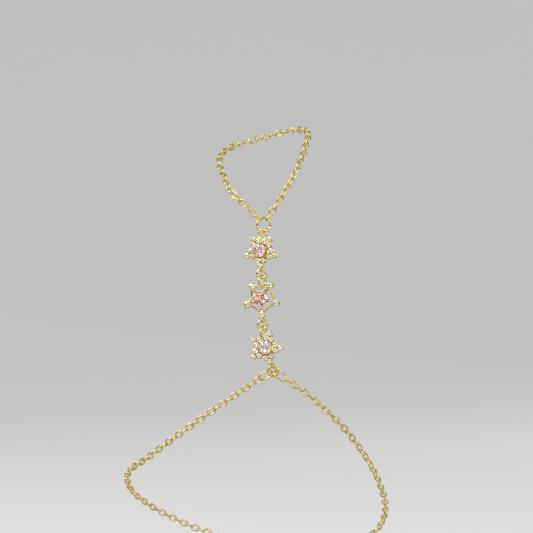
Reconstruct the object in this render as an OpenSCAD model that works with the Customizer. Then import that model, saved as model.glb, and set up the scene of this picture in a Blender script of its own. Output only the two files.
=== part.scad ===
// Hand chain bracelet in gold-plated metal: a small loop of cable chain, a ring, three star charms
// in a row, a thick ring, and a large loop of cable chain.
// The frame has +Z up along the row of charms, -Y out of their faces and +X to the right of a
// viewer who faces them. Its origin is the middle of the large loop. All lengths are in
// millimetres and all angles in degrees.

/* [Chain] */
// Wire diameter of a chain link
chain_wire = 0.38; // [0.3:0.01:0.42]
// Length of a chain link over its ends
link_len = 2.75; // [2.5:0.05:3.1]
// Width of a chain link over its sides
link_width = 1.9; // [1.7:0.05:2.1]
// Gap between two wires that are hooked through each other
hook_gap = 0.14; // [0.12:0.01:0.2]

/* [Rings] */
// Outer diameter of the ring that the finger chain hangs on
finger_ring_d = 4.2; // [3.8:0.05:5]
// Wire diameter of the ring that the finger chain hangs on
finger_ring_wire = 0.5; // [0.4:0.05:0.6]
// Turn of that ring about the vertical, its left side nearer the viewer
finger_ring_turn = 22; // [16:1:30]
// Outer diameter of the two rings between the stars
joiner_ring_d = 2.9; // [2.7:0.05:3.4]
// Wire diameter of the two rings between the stars
joiner_ring_wire = 0.6; // [0.45:0.05:0.7]
// Outer diameter of the thick ring that the wrist chains hang on
wrist_ring_d = 3.25; // [3.1:0.05:3.8]
// Wire diameter of the thick ring that the wrist chains hang on
wrist_ring_wire = 0.75; // [0.55:0.05:0.8]
// Turn of that ring about the vertical, negative with its right side nearer the viewer
wrist_ring_turn = -12; // [-24:1:0]
// Length of the two large oval links on the thick ring
oval_len = 4.1; // [3.8:0.05:4.6]
// Width of the two large oval links
oval_width = 3.2; // [2.9:0.05:3.4]
// Wire diameter of the two large oval links
oval_wire = 0.42; // [0.35:0.01:0.46]
// Tilt of the two large oval links about their long axis
oval_tilt = 47; // [36:1:50]
// More room where something hooks into a tilted oval link
oval_slack = 0.06; // [0:0.01:0.2]

/* [Bails and eyes] */
// Outer diameter of the bail behind the top notch of the upper star
upper_bail_d = 3.1; // [2.8:0.05:3.4]
// Outer diameter of the bails of the middle and lower stars
bail_d = 3.5; // [3.2:0.05:3.8]
// Wire diameter of the bails
bail_wire = 0.5; // [0.4:0.02:0.56]
// Turn of the upper star's bail out of its star's plane, negative with its right side nearer
upper_bail_turn = -12; // [-30:1:0]
// Turn of the bails of the middle and lower stars out of their star's plane
bail_turn = 70; // [50:1:90]
// Wire diameter of the small eye at the foot of each star
eye_wire = 0.32; // [0.26:0.02:0.36]
// Gap all round the ring's wire inside an eye
eye_gap = 0.17; // [0.12:0.01:0.2]

/* [Stone-set stars] */
// Distance from the middle of a stone-set star to the tip of an arm
star_tip_r = 4.65; // [4.4:0.05:5]
// Distance from the middle of a stone-set star to a notch between two arms
star_notch_r = 2.5; // [2.4:0.05:2.7]
// Thickness of a stone-set star's plate
star_plate = 0.9; // [0.7:0.05:1.1]
// Diameter of the two stones side by side at the root of an arm
root_stone_d = 1.16; // [1:0.02:1.24]
// Diameter of the single stone near the tip of an arm
tip_stone_d = 1; // [0.8:0.02:1.1]
// Distance of the root stones from the middle, measured along the arm
root_stone_at = 2.52; // [2.46:0.02:2.6]
// Distance of each root stone from the middle line of its arm
root_stone_side = 0.74; // [0.72:0.02:0.8]
// Distance of the tip stone from the middle, measured along the arm
tip_stone_at = 3.84; // [3.7:0.02:3.9]
// Wall of the small cup round each stone
cup_wall = 0.12; // [0.08:0.01:0.14]
// Diameter of the round pink stone in the middle
centre_stone_d = 3.4; // [3:0.05:3.5]
// Height of the round pink stone's girdle over the plate's front
centre_stone_rise = 0.95; // [0.8:0.05:1.3]

/* [Open star] */
// Distance from the middle of the open star to the stone at each tip
open_tip_r = 4.2; // [4:0.05:4.5]
// Distance from the middle of the open star to the wire frame's notches
open_notch_r = 3; // [2.9:0.05:3.1]
// Diameter of the open star's wire frame
frame_wire = 0.45; // [0.36:0.03:0.51]
// Diameter of the open star's five round stones
open_stone_d = 1.3; // [1.1:0.05:1.4]
// Distance from the middle of the star-shaped pink stone to its tips
star_stone_tip_r = 2.6; // [2.4:0.05:2.7]
// Distance from the middle of the star-shaped pink stone to its notches
star_stone_notch_r = 1.6; // [1.45:0.05:1.7]

/* [Clasp] */
// Length of the clasp's hook loop
clasp_len = 6.6; // [6:0.1:8]
// Width of the clasp's hook loop
clasp_width = 3.8; // [3.6:0.1:4.4]
// Thickness of the clasp's hook loop
clasp_wire = 1; // [0.8:0.05:1.2]
// Outer diameter of the ring that the clasp hooks into
clasp_ring_d = 4; // [3.8:0.1:4.6]
// Wire diameter of the ring that the clasp hooks into
clasp_ring_wire = 0.6; // [0.5:0.05:0.7]

/* [Stars as they hang] */
// Turn of each star about the vertical, upper to lower, negative with its right side nearer the viewer
star_turns = [-18, -16, -9]; // [-30:1:30]
// Lean of each star's face, upper to lower, positive with the face looking up
star_tilts = [10, 7, 11]; // [-20:1:20]
// Anticlockwise spin of each star, upper to lower
star_spins = [0, 4, 19.5]; // [-30:0.5:30]

/* [Hidden] */
$fn = 32;

// Where things hang: the finger ring's centre, and where on each ring the next piece is hooked
FINGER_RING_AT = [2, -20, 66.35];
UPPER_BAIL_HOOK = 261;
FINGER_HOOKS = [56, 127];
WRIST_HOOKS = [208, 326];

// Places on a star, measured from the direction of its top notch
UPPER_BAIL_LIFT = 0.72;
UPPER_BAIL_BACK = 0.25;
LOWER_BAIL_LIFT = 0.3;
BAIL_LEANS = [0, -3, -9];
JOINER_HOOKS = [277, 279];
LOWER_EYE_LEAN = 3.6;

// Chosen points that each chain is led through, from the hook on its ring round to the other hook
FINGER_ROUTE = [
    [-2.5, -20, 71.2], [-6.5, -17, 75], [-8.5, -11.5, 79.5], [-9.8, -5, 84], [-8, 0.5, 86.8],
    [-2, 5.5, 89.2], [5, 6.5, 91.2], [11, 3, 92.2], [13.8, -3.5, 91.2], [13, -10, 87],
    [11, -16.5, 81.5], [6.8, -19.8, 73.8]
];
WRIST_ROUTE = [
    [0.7, -22.7, 26.1], [-10, -21.3, 18.9], [-21.5, -17.4, 10.6], [-29.5, -11.5, 4.4],
    [-34, -5, 0.8], [-34, 2, -3.8], [-29.5, 10.5, -9], [-20, 17, -14.8], [-8, 20.8, -19.6],
    [5, 21.6, -22.8], [17, 20, -23.8], [27, 16.5, -21], [33, 12, -16], [34.7, 2.8, -9.1],
    [33.2, -4.5, -3.2], [28.2, -13.7, 6.4], [20, -20, 16.5], [9.9, -22.6, 24.8]
];
// Steps that each stretch between two chosen points is drawn in
ROUTE_STEPS = 12;
// Middle of each loop and its half widths, which say which way is outward on it
FINGER_LOOP = [[2, -7], [12, 13.5]];
WRIST_LOOP = [[0, -1], [34.5, 22.5]];

// Vectors
function unit(v) = v / norm(v);
function about_x(p, a) = [p.x, p.y * cos(a) - p.z * sin(a), p.y * sin(a) + p.z * cos(a)];
function about_y(p, a) = [p.x * cos(a) + p.z * sin(a), p.y, p.z * cos(a) - p.x * sin(a)];
function about_z(p, a) = [p.x * cos(a) - p.y * sin(a), p.x * sin(a) + p.y * cos(a), p.z];
function polar(r, a) = [r * cos(a), r * sin(a)];

// A pose is [place, turn, tilt, spin]. Its own +Z looks at the viewer and its own +Y is up.
function way(pose, p) =
    let (q = about_y(about_x(about_z(p, pose[3]), -pose[2]), pose[1])) [q.x, -q.z, q.y];
function placed(pose, p) = pose[0] + way(pose, p);
module in_pose(pose) {
    translate(pose[0]) rotate([90, 0, 0]) rotate([-pose[2], pose[1], 0]) rotate([0, 0, pose[3]])
        children();
}

// Two pieces hooked through each other: the distance between their middles, from the reach of each
// middle to its own end wire's centre line, and their wires
function reach(length, wire) = (length - wire) / 2;
function hooked(reach_a, wire_a, reach_b, wire_b) = reach_a + reach_b - (wire_a + wire_b) / 2 - hook_gap;

// The line that a chain is led along, as three tables of x, y and z over the length so far
function slope(p, i) =
    i == 0 ? unit(p[1] - p[0]) :
    i == len(p) - 1 ? unit(p[i] - p[i - 1]) :
    let (a = norm(p[i] - p[i - 1]), b = norm(p[i + 1] - p[i]))
        ((p[i + 1] - p[i]) * a / b + (p[i] - p[i - 1]) * b / a) / (a + b);
function between(p, i, t) =
    let (h = norm(p[i + 1] - p[i]))
        p[i] * (2 * t * t * t - 3 * t * t + 1) + h * slope(p, i) * (t * t * t - 2 * t * t + t)
        + p[i + 1] * (3 * t * t - 2 * t * t * t) + h * slope(p, i + 1) * (t * t * t - t * t);
function drawn(p) = concat(
    [for (i = [0:len(p) - 2], k = [0:ROUTE_STEPS - 1]) between(p, i, k / ROUTE_STEPS)],
    [p[len(p) - 1]]
);
function lengths(q) = [for (i = 0, s = 0; i < len(q); i = i + 1,
    s = i < len(q) ? s + norm(q[i] - q[i - 1]) : s) s];
function route(p) =
    let (q = drawn(p), s = lengths(q))
        [for (axis = [0:2]) [for (i = [0:len(q) - 1]) [s[i], q[i][axis]]]];
function route_length(line) = line[0][len(line[0]) - 1][0];
function on_line(line, s) = [for (axis = [0:2]) lookup(s, line[axis])];
function outward(loop, p) =
    [(p.x - loop[0].x) / pow(loop[1].x, 2), (p.y - loop[0].y) / pow(loop[1].y, 2), 0];

// Puts a piece with its long axis along the line and both its ends on it. A roll of 0 lays it flat
// against what the loop goes round, and 90 stands it on edge.
module on_route(line, loop, s, roll, half) {
    room = min(half, s, route_length(line) - s);
    back = on_line(line, s - room);
    front = on_line(line, s + room);
    p = (back + front) / 2;
    t = unit(front - back);
    out = outward(loop, p);
    flat = unit(out - (out * t) * t);
    n = cos(roll) * flat + sin(roll) * cross(t, flat);
    w = cross(n, t);
    multmatrix([
        [t.x, w.x, n.x, p.x],
        [t.y, w.y, n.y, p.y],
        [t.z, w.z, n.z, p.z],
        [0, 0, 0, 1]
    ]) children();
}

// Wire shapes, each lying flat round its own middle
module wire_ring(outer_d, wire) {
    rotate_extrude() translate([(outer_d - wire) / 2, 0]) circle(d = wire);
}
module wire_bend(length, width, wire, side) {
    translate([side * (length - width) / 2, 0, 0]) rotate([0, 0, -90 * side])
        rotate_extrude(angle = 180) translate([(width - wire) / 2, 0]) circle(d = wire);
}
module wire_side(length, width, wire, side) {
    translate([-(length - width) / 2, side * (width - wire) / 2, 0]) rotate([0, 90, 0])
        cylinder(d = wire, h = length - width);
}
module wire_oval(length, width, wire) {
    for (side = [-1, 1]) {
        wire_bend(length, width, wire, side);
        wire_side(length, width, wire, side);
    }
}

// The charms hang from each other, so each place follows from the one above it
FINGER_RING_POSE = [FINGER_RING_AT, finger_ring_turn, 0, 0];
function upright(at) = [at, 0, 0, 0];
function ring_hook(pose, ring_d, ring_wire, a) =
    placed(pose, concat(polar(reach(ring_d, ring_wire), a), 0));
UPPER_BAIL_AT = ring_hook(FINGER_RING_POSE, finger_ring_d, finger_ring_wire, UPPER_BAIL_HOOK)
    - [0, 0, hooked(0, finger_ring_wire, reach(upper_bail_d, bail_wire), bail_wire)];

STAR_HALF = star_plate / 2;
BAIL_REACHES = [for (d = [upper_bail_d, bail_d, bail_d]) reach(d, bail_wire)];
BAIL_TURNS = [upper_bail_turn, bail_turn, bail_turn];
BAIL_ROOTS = [star_notch_r + UPPER_BAIL_LIFT, open_notch_r + frame_wire / 4, star_notch_r + LOWER_BAIL_LIFT];
BAIL_BACKS = [-UPPER_BAIL_BACK, 0, 0];
function bail_place(k) = about_z([0, BAIL_ROOTS[k] + BAIL_REACHES[k], BAIL_BACKS[k]], BAIL_LEANS[k]);

// An eye is sunk into the back of its star or the side of its cup, and lies at or past the tip
OPEN_CUP_WALL = 0.14;
OPEN_CUP_R = open_stone_d / 2 + OPEN_CUP_WALL;
EYE_SUNK = 0.26;
EYE_INSIDE_TIP = 0.05;
LOWER_EYE_PAST_TIP = 0.26;
EYE_REACHES = [for (w = [joiner_ring_wire, joiner_ring_wire, wrist_ring_wire]) (w + eye_wire) / 2 + eye_gap];
function eye_back(k) = EYE_SUNK - STAR_HALF - EYE_REACHES[k] - eye_wire / 2;
EYE_PLACES = [
    [0, EYE_INSIDE_TIP - star_tip_r, eye_back(0)],
    [0, EYE_INSIDE_TIP - open_tip_r - OPEN_CUP_R - EYE_REACHES[1], 0],
    about_z([0, -star_tip_r - LOWER_EYE_PAST_TIP, eye_back(2)], LOWER_EYE_LEAN)
];
function star_pose(k, bail_at) =
    [bail_at - way([[0, 0, 0], star_turns[k], star_tilts[k], star_spins[k]], bail_place(k)),
     star_turns[k], star_tilts[k], star_spins[k]];
function below(eye_at, ring_d, ring_wire) = eye_at - [0, 0, reach(ring_d, ring_wire)];
function next_bail(ring_at, hook) =
    ring_hook(upright(ring_at), joiner_ring_d, joiner_ring_wire, hook)
    - [0, 0, hooked(0, joiner_ring_wire, reach(bail_d, bail_wire), bail_wire)];

UPPER_POSE = star_pose(0, UPPER_BAIL_AT);
UPPER_RING_AT = below(placed(UPPER_POSE, EYE_PLACES[0]), joiner_ring_d, joiner_ring_wire);
MIDDLE_POSE = star_pose(1, next_bail(UPPER_RING_AT, JOINER_HOOKS[0]));
LOWER_RING_AT = below(placed(MIDDLE_POSE, EYE_PLACES[1]), joiner_ring_d, joiner_ring_wire);
LOWER_POSE = star_pose(2, next_bail(LOWER_RING_AT, JOINER_HOOKS[1]));
WRIST_RING_AT = below(placed(LOWER_POSE, EYE_PLACES[2]), wrist_ring_d, wrist_ring_wire);
WRIST_RING_POSE = [WRIST_RING_AT, wrist_ring_turn, 0, 0];

// Both chains, from the hook at one end of the line to the hook at the other
FINGER_LINE = route(concat(
    [ring_hook(FINGER_RING_POSE, finger_ring_d, finger_ring_wire, FINGER_HOOKS[1])],
    FINGER_ROUTE,
    [ring_hook(FINGER_RING_POSE, finger_ring_d, finger_ring_wire, FINGER_HOOKS[0])]
));
WRIST_LINE = route(concat(
    [ring_hook(WRIST_RING_POSE, wrist_ring_d, wrist_ring_wire, WRIST_HOOKS[0])],
    WRIST_ROUTE,
    [ring_hook(WRIST_RING_POSE, wrist_ring_d, wrist_ring_wire, WRIST_HOOKS[1])]
));
LINK_REACH = reach(link_len, chain_wire);
OVAL_REACH = reach(oval_len, oval_wire);
FULL_PITCH = hooked(LINK_REACH, chain_wire, LINK_REACH, chain_wire);

// An odd number of finger links ends on the same roll as it began
FINGER_START = hooked(0, finger_ring_wire, LINK_REACH, chain_wire);
FINGER_RUN = route_length(FINGER_LINE) - 2 * FINGER_START;
FINGER_LINKS = 2 * ceil(FINGER_RUN / FULL_PITCH / 2) + 1;
FINGER_PITCH = FINGER_RUN / (FINGER_LINKS - 1);

// The wrist line carries an oval link, the left chain, the clasp, its ring, the right chain and an
// oval link
CLASP_EYE_WIRE = 0.5;
CLASP_EYE_D = 2.2;
CLASP_HOOK_REACH = reach(clasp_len, clasp_wire);
CLASP_EYE_AT = -(clasp_len + CLASP_EYE_D) / 2 + CLASP_EYE_WIRE;
CLASP_EYE_REACH = -CLASP_EYE_AT + reach(CLASP_EYE_D, CLASP_EYE_WIRE);
CLASP_RING_REACH = reach(clasp_ring_d, clasp_ring_wire);
OVAL_START = hooked(0, wrist_ring_wire, OVAL_REACH, oval_wire) - oval_slack;
OVAL_STEP = hooked(OVAL_REACH, oval_wire, LINK_REACH, chain_wire) - oval_slack;
CLASP_STEP = hooked(LINK_REACH, chain_wire, CLASP_EYE_REACH, CLASP_EYE_WIRE);
HOOK_STEP = hooked(CLASP_HOOK_REACH, clasp_wire, CLASP_RING_REACH, clasp_ring_wire);
CLASP_RING_STEP = hooked(CLASP_RING_REACH, clasp_ring_wire, LINK_REACH, chain_wire);
WRIST_RUN = route_length(WRIST_LINE) - 2 * (OVAL_START + OVAL_STEP)
    - CLASP_STEP - HOOK_STEP - CLASP_RING_STEP;
// An even number of wrist links lets the clasp ring stand across both of its neighbours
WRIST_LINKS = 2 * ceil((WRIST_RUN / FULL_PITCH + 2) / 2);
WRIST_PITCH = WRIST_RUN / (WRIST_LINKS - 2);
LEFT_LINKS = floor(WRIST_LINKS / 2);
RIGHT_LINKS = WRIST_LINKS - LEFT_LINKS;
LEFT_START = OVAL_START + OVAL_STEP;
RIGHT_START = route_length(WRIST_LINE) - OVAL_START - OVAL_STEP;
CLASP_S = LEFT_START + (LEFT_LINKS - 1) * WRIST_PITCH + CLASP_STEP;
CLASP_RING_S = CLASP_S + HOOK_STEP;
CLASP_ROLL = 90 * LEFT_LINKS;

module chain(line, loop, start, step, count, first_roll) {
    for (i = [0:count - 1], side = [-1, 1]) {
        on_route(line, loop, start + i * step, first_roll + 90 * i, LINK_REACH)
            wire_bend(link_len, link_width, chain_wire, side);
        on_route(line, loop, start + i * step, first_roll + 90 * i, LINK_REACH)
            wire_side(link_len, link_width, chain_wire, side);
    }
}
module finger_chain() {
    color("gold") chain(FINGER_LINE, FINGER_LOOP, FINGER_START, FINGER_PITCH, FINGER_LINKS, 90);
}
module wrist_chain_left() {
    color("gold") chain(WRIST_LINE, WRIST_LOOP, LEFT_START, WRIST_PITCH, LEFT_LINKS, 0);
}
module wrist_chain_right() {
    color("gold") chain(WRIST_LINE, WRIST_LOOP, RIGHT_START, -WRIST_PITCH, RIGHT_LINKS, 90);
}
module oval_link_left() {
    color("gold") on_route(WRIST_LINE, WRIST_LOOP, OVAL_START, -oval_tilt, OVAL_REACH)
        wire_oval(oval_len, oval_width, oval_wire);
}
module oval_link_right() {
    color("gold")
        on_route(WRIST_LINE, WRIST_LOOP, route_length(WRIST_LINE) - OVAL_START, oval_tilt, OVAL_REACH)
            wire_oval(oval_len, oval_width, oval_wire);
}
module clasp() {
    color("gold") on_route(WRIST_LINE, WRIST_LOOP, CLASP_S, CLASP_ROLL, CLASP_EYE_REACH) {
        wire_oval(clasp_len, clasp_width, clasp_wire);
        translate([CLASP_EYE_AT, 0, 0]) wire_ring(CLASP_EYE_D, CLASP_EYE_WIRE);
    }
}
module clasp_ring() {
    color("gold") on_route(WRIST_LINE, WRIST_LOOP, CLASP_RING_S, CLASP_ROLL + 90, CLASP_RING_REACH)
        wire_ring(clasp_ring_d, clasp_ring_wire);
}
module finger_ring() {
    color("gold") in_pose(FINGER_RING_POSE) wire_ring(finger_ring_d, finger_ring_wire);
}
module joiner_ring(at) {
    color("gold") in_pose(upright(at)) wire_ring(joiner_ring_d, joiner_ring_wire);
}
module wrist_ring() {
    color("gold") in_pose(WRIST_RING_POSE) wire_ring(wrist_ring_d, wrist_ring_wire);
}

// A star's outline, with one notch straight up and one arm straight down
function star_outline(tip_r, notch_r) = [for (k = [0:9]) polar(k % 2 == 0 ? notch_r : tip_r, 90 + 36 * k)];
ARMS = [for (k = [0:4]) 54 + 72 * k];
NOTCHES = [for (k = [0:4]) 90 + 72 * k];

// Round stones: a flat table, eight main facets over and under the girdle, and a pointed foot
module small_stone(d) {
    table = 0.58;
    crown = 0.17 * d;
    girdle = 0.05 * d;
    foot = 0.42 * d;
    rim = [for (k = [0:7]) polar(d / 2, 45 * k + 22.5)];
    points = concat(
        [for (p = rim) [p.x * table, p.y * table, crown + girdle]],
        [for (p = rim) [p.x, p.y, girdle]],
        [for (p = rim) [p.x, p.y, 0]],
        [[0, 0, -foot]]
    );
    polyhedron(points, concat(
        [[for (k = [7:-1:0]) k]],
        [for (level = [0, 8], k = [0:7])
            [level + k, level + (k + 1) % 8, level + 8 + (k + 1) % 8, level + 8 + k]],
        [for (k = [0:7]) [16 + k, 16 + (k + 1) % 8, 24]]
    ));
}
ROUND_FOOT = 0.84;
module round_stone(d) {
    r = d / 2;
    table_r = 0.56 * r;
    crown = 0.32 * r;
    girdle = 0.06 * r;
    foot = ROUND_FOOT * r;
    star_r = 0.78 * r;
    lower_r = 0.24 * r;
    top = girdle + crown;
    star_z = top - crown * (star_r * cos(22.5) - table_r) / (r - table_r);
    lower_z = -foot * (r - lower_r * cos(22.5)) / r;
    points = concat(
        [for (k = [0:7]) concat(polar(table_r, 45 * k), top)],
        [for (k = [0:7]) concat(polar(star_r, 45 * k + 22.5), star_z)],
        [for (k = [0:15]) concat(polar(r, 22.5 * k), girdle)],
        [for (k = [0:15]) concat(polar(r, 22.5 * k), 0)],
        [for (k = [0:7]) concat(polar(lower_r, 45 * k + 22.5), lower_z)],
        [[0, 0, -foot]]
    );
    polyhedron(points, concat(
        [[for (k = [7:-1:0]) k]],
        [for (k = [0:7]) [k, (k + 1) % 8, 8 + k]],
        [for (k = [0:7]) [k, 8 + k, 16 + 2 * k, 8 + (k + 7) % 8]],
        [for (k = [0:7]) [8 + k, 17 + 2 * k, 16 + 2 * k]],
        [for (k = [0:7]) [8 + k, 16 + (2 * k + 2) % 16, 17 + 2 * k]],
        [for (k = [0:15]) [16 + k, 16 + (k + 1) % 16, 32 + (k + 1) % 16, 32 + k]],
        [for (k = [0:7]) [32 + 2 * k, 33 + 2 * k, 48 + k]],
        [for (k = [0:7]) [33 + 2 * k, 32 + (2 * k + 2) % 16, 48 + k]],
        [for (k = [0:7]) [32 + 2 * k, 48 + k, 56, 48 + (k + 7) % 8]]
    ));
}
// The star-shaped stone: a small star table, ten crown facets, a girdle and ten facets to its foot
STAR_STONE_TABLE = 0.42;
STAR_STONE_CROWN = 0.62;
STAR_STONE_GIRDLE = 0.14;
STAR_STONE_FOOT = 1.15;
module star_stone(tip_r, notch_r) {
    rim = star_outline(tip_r, notch_r);
    top = STAR_STONE_GIRDLE + STAR_STONE_CROWN;
    points = concat(
        [for (p = rim) [p.x * STAR_STONE_TABLE, p.y * STAR_STONE_TABLE, top]],
        [for (p = rim) [p.x, p.y, STAR_STONE_GIRDLE]],
        [for (p = rim) [p.x, p.y, 0]],
        [[0, 0, -STAR_STONE_FOOT], [0, 0, top]]
    );
    polyhedron(points, concat(
        [for (k = [0:9]) [(k + 1) % 10, k, 31]],
        [for (level = [0, 10], k = [0:9])
            [level + k, level + (k + 1) % 10, level + 10 + (k + 1) % 10, level + 10 + k]],
        [for (k = [0:9]) [20 + k, 20 + (k + 1) % 10, 30]]
    ));
}

// Seats in a stone-set star: [place in the plate, stone diameter], three to an arm
SEATS = [for (a = ARMS, seat = [
    [[root_stone_at, -root_stone_side], root_stone_d],
    [[root_stone_at, root_stone_side], root_stone_d],
    [[tip_stone_at, 0], tip_stone_d]
]) [about_z(concat(seat[0], 0), a), seat[1]]];
CUP_RISE = 0.12;
STONE_RISE = 0.1;
SEAT_SHARE = 0.88;
SEAT_DEPTH = 0.52;
STONE_GAP = 0.06;

// Beads that hold the small stones, beyond each root stone and at each tip
BEAD_R = 0.17;
BEAD_OUTWARD = 0.1;
ROOT_BEAD_AT = root_stone_at + root_stone_d / 2 + BEAD_R + STONE_GAP;
ROOT_BEAD_SIDE = root_stone_side + BEAD_OUTWARD;

// Prongs: [wire, ball's radius, ball's lean over the stone, ball's height over the girdle]. The
// prongs of the open star's cups splay outwards, so their lean is negative
CENTRE_PRONG = [0.36, 0.2, 0.14, 0.34];
CUP_PRONG = [0.3, 0.2, -0.12, 0.2];
TIP_PRONG = [0.3, 0.21, 0.05, 0.36];
PRONG_GAP = 0.05;
CENTRE_PRONG_R = centre_stone_d / 2 + PRONG_GAP + CENTRE_PRONG[0] / 2;
CENTRE_GIRDLE_Z = STAR_HALF + centre_stone_rise;
module prong(kind, foot_z, girdle_z) {
    top = girdle_z + kind[3];
    translate([0, 0, foot_z]) cylinder(d = kind[0], h = top - foot_z);
    translate([-kind[2], 0, top]) sphere(r = kind[1]);
}
module rod(from, to, wire) {
    v = to - from;
    translate(from) rotate([0, acos(v.z / norm(v)), atan2(v.y, v.x)]) cylinder(d = wire, h = norm(v));
}
module bail(k) {
    translate(bail_place(k)) rotate([0, 0, -star_spins[k]]) rotate([0, BAIL_TURNS[k], 0])
        rotate([0, 0, 90]) wire_ring(2 * BAIL_REACHES[k] + bail_wire, bail_wire);
}
// The short post that a bail is soldered to
module bail_post(k, from_r, wire) {
    rod([0, from_r, 0], about_z([0, BAIL_ROOTS[k], 0], BAIL_LEANS[k]), wire);
}
module eye(k) {
    translate(EYE_PLACES[k]) rotate([0, 0, -star_spins[k]]) rotate([0, 90, 0])
        wire_ring(2 * EYE_REACHES[k] + eye_wire, eye_wire);
}
// The solder between the back of a stone-set star's lowest arm and its eye
EYE_ROOT_IN = 0.4;
EYE_ROOT_WIRE = 0.44;
EYE_ROOT_TURN = 60;
module eye_root(k) {
    r = EYE_REACHES[k];
    on_eye = about_z([0, r * cos(EYE_ROOT_TURN), r * sin(EYE_ROOT_TURN)], -star_spins[k]);
    rod([0, EYE_ROOT_IN - star_tip_r, EYE_ROOT_WIRE / 4 - STAR_HALF], EYE_PLACES[k] + on_eye, EYE_ROOT_WIRE);
}

// The basket under the round stone follows its lower facets with a gap, and its rim reaches the prongs
POCKET_FLOOR = -0.2;
BASKET_BORE = 0.62;
BASKET_FOOT_WALL = 0.42;
BASKET_DROP = 0.2;
BASKET_RIM = 0.12;
BASKET_RIM_OUT = 0.1;
SEAT_GAP = 0.08;
module basket() {
    r = centre_stone_d / 2;
    foot = ROUND_FOOT * r;
    bore = BASKET_BORE * r;
    rim_z = CENTRE_GIRDLE_Z - BASKET_DROP;
    rotate_extrude() polygon([
        [bore, 0],
        [bore + BASKET_FOOT_WALL, 0],
        [r + BASKET_RIM_OUT, rim_z - BASKET_RIM],
        [r + BASKET_RIM_OUT, rim_z],
        [r * (1 - BASKET_DROP / foot) + SEAT_GAP, rim_z],
        [bore, CENTRE_GIRDLE_Z - foot * (1 - (bore - SEAT_GAP) / r)]
    ]);
}
STAR_POST_WIRE = 0.62;
POST_IN = 0.3;
module stone_set_star(k) {
    difference() {
        union() {
            translate([0, 0, -STAR_HALF]) linear_extrude(star_plate)
                polygon(star_outline(star_tip_r, star_notch_r));
            for (seat = SEATS) translate(seat[0] - [0, 0, STAR_HALF])
                cylinder(d = seat[1] + 2 * cup_wall, h = star_plate + CUP_RISE);
            for (a = ARMS) rotate([0, 0, a]) {
                for (side = [-1, 1]) translate([ROOT_BEAD_AT, side * ROOT_BEAD_SIDE, STAR_HALF + CUP_RISE])
                    sphere(r = BEAD_R);
                translate([star_tip_r - BEAD_R, 0, STAR_HALF]) sphere(r = BEAD_R);
            }
            bail_post(k, star_notch_r - POST_IN, STAR_POST_WIRE);
        }
        for (seat = SEATS) translate(seat[0] + [0, 0, STAR_HALF + CUP_RISE - SEAT_DEPTH])
            cylinder(d = seat[1] * SEAT_SHARE, h = SEAT_DEPTH + BEAD_R);
        translate([0, 0, POCKET_FLOOR]) cylinder(r = BASKET_BORE * centre_stone_d / 2, h = star_plate);
    }
    basket();
    for (a = NOTCHES) rotate([0, 0, a]) translate([CENTRE_PRONG_R, 0, 0])
        prong(CENTRE_PRONG, 0, CENTRE_GIRDLE_Z);
    bail(k);
    eye(k);
    eye_root(k);
}
module upper_star() { color("gold") in_pose(UPPER_POSE) stone_set_star(0); }
module lower_star() { color("gold") in_pose(LOWER_POSE) stone_set_star(2); }

OPEN_CUP_TOP = 0.42;
OPEN_CUP_DEPTH = 0.8;
OPEN_SEAT_DEPTH = 0.62;
CUP_PRONG_OUT = 0.06;
CUP_PRONG_FOOT = -0.2;
SPOKE_WIRE = 0.34;
MIDDLE_POST_WIRE = 0.5;
STAR_STONE_Z = 1.6;
TIP_PRONG_OUT = 0.22;
// A small star plate joins the spokes, and a star-shaped rail runs round under the stone's girdle
HUB_SHARE = 0.6;
HUB_THICK = 0.4;
RAIL_DROP = 0.2;
RAIL_HIGH = 0.35;
RAIL_EDGE = 0.12;
RAIL_HOLLOW = 0.88;
module setting_rail() {
    translate([0, 0, STAR_STONE_Z - RAIL_DROP - RAIL_HIGH]) linear_extrude(RAIL_HIGH) difference() {
        polygon(star_outline(star_stone_tip_r + TIP_PRONG_OUT, star_stone_notch_r + RAIL_EDGE));
        polygon(star_outline(star_stone_tip_r * RAIL_HOLLOW, star_stone_notch_r * RAIL_HOLLOW));
    }
}
// An arc of the wire frame from one tip stone to the next, bowed in towards the middle
module frame_arc() {
    half_chord = open_tip_r * sin(36);
    bow = open_tip_r * cos(36) - open_notch_r;
    bend_r = (half_chord * half_chord + bow * bow) / (2 * bow);
    half = asin(half_chord / bend_r);
    translate([open_notch_r + bend_r, 0, 0]) rotate([0, 0, 180 - half])
        rotate_extrude(angle = 2 * half) translate([bend_r, 0]) circle(d = frame_wire);
}
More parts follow.
